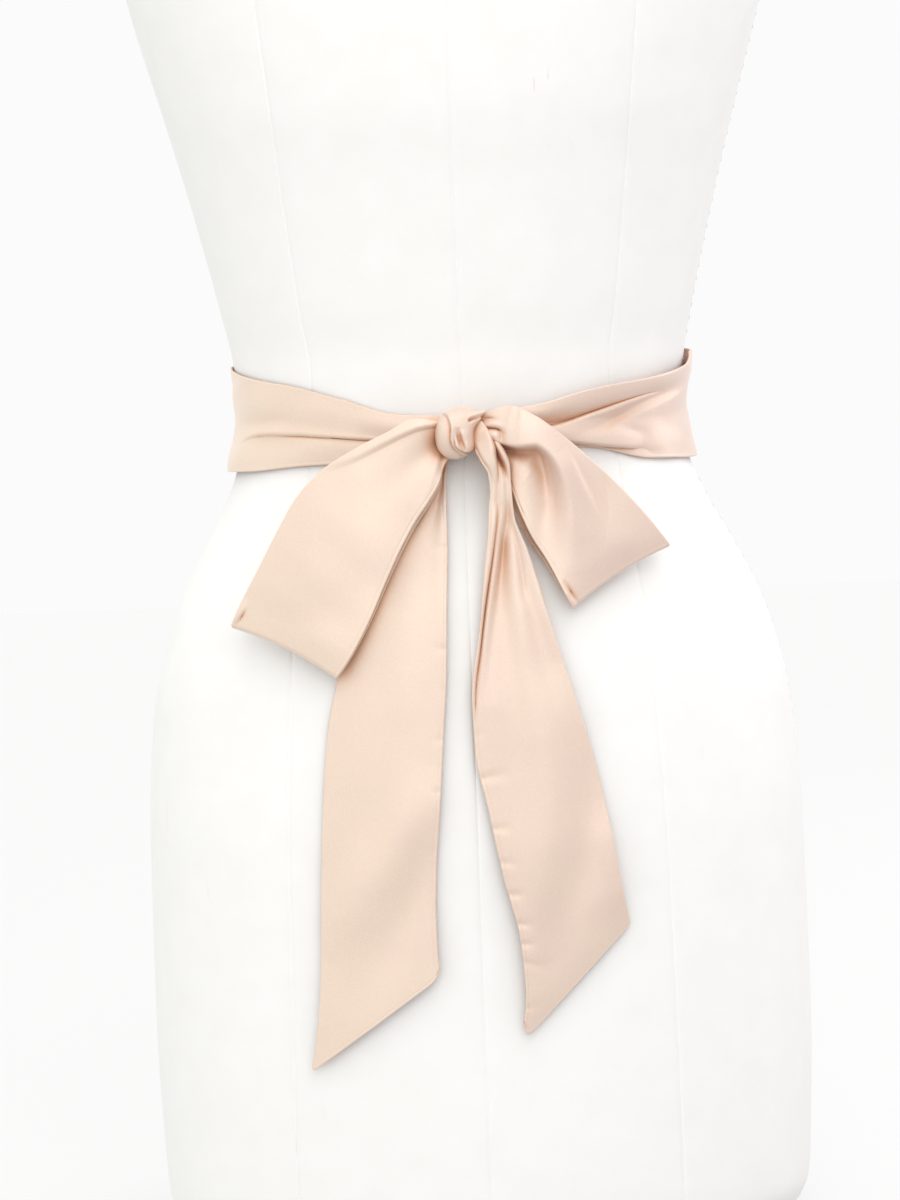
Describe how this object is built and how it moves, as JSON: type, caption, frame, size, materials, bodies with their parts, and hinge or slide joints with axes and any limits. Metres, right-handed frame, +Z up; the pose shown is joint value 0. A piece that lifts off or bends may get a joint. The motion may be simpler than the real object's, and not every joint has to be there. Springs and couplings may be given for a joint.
{
  "type": "satin sash on a dress form",
  "caption": "Satin sash wound round the waist of a limbless dress form and tied at the front in a bow with two drooping loops and two slant-cut tails.",
  "frame": {"origin": "centre of the dress form's flat underside, on its upright axis", "axes": "+Z up along the form; -Y to the front, where the bow is; +X to the right of someone who faces the front"},
  "size_m": [0.3366, 0.2609, 0.8873],
  "materials": {
    "satin": "champagne blush satin, soft gloss on the face",
    "painted_canvas": "canvas cover painted matt white",
    "cap_paint": "board painted white"
  },
  "bodies": {
    "root": {"sash_band": "satin", "sash_knot": "satin", "sash_loop_left": "satin", "sash_loop_right": "satin", "sash_tail_left": "satin", "sash_tail_right": "satin", "form_body": "painted_canvas", "form_neck_cap": "cap_paint", "form_arm_plate_left": "cap_paint", "form_arm_plate_right": "cap_paint"}
  },
  "joints": []
}
